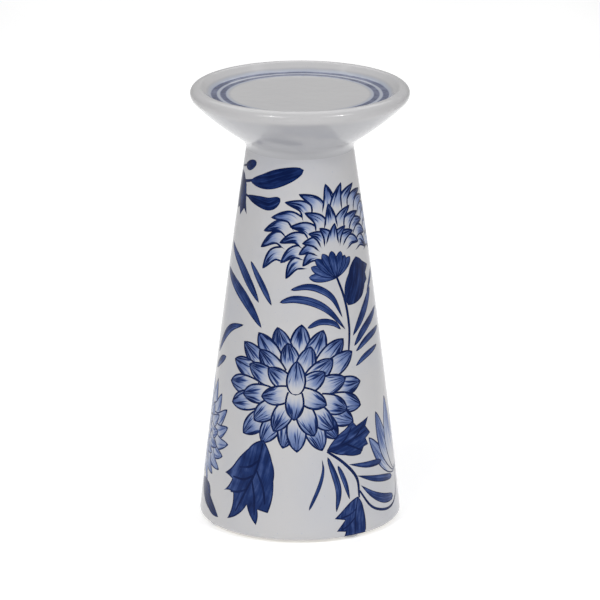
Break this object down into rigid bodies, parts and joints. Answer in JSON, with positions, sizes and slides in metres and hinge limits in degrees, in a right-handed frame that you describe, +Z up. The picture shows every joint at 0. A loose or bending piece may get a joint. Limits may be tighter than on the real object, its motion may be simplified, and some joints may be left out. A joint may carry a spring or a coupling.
{
  "type": "pillar candle holder",
  "caption": "Tall glazed ceramic candle stand: a shallow dish on a hollow tapered pedestal, painted with cobalt flowers, on small clear bumpers.",
  "frame": {"origin": "centre of the resting plane under the bumpers, on the axis of the turned pieces", "axes": "+Z up along the axis, -Y towards the front, +X to the right seen from the front"},
  "size_m": [0.1242, 0.1242, 0.254],
  "materials": {
    "dish_glaze": "glossy greyish-white glaze with two cobalt rings",
    "painted_glaze": "glossy greyish-white glaze over cobalt brush painting",
    "biscuit_underside": "unglazed fired clay, matt",
    "clear_silicone": "clear, smooth, slightly tacky"
  },
  "bodies": {
    "root": {"candle_dish": "dish_glaze", "pedestal_body": "painted_glaze", "base_disc": "biscuit_underside", "bumper_front_left": "clear_silicone", "bumper_front_right": "clear_silicone", "bumper_back_right": "clear_silicone", "bumper_back_left": "clear_silicone"}
  },
  "joints": []
}
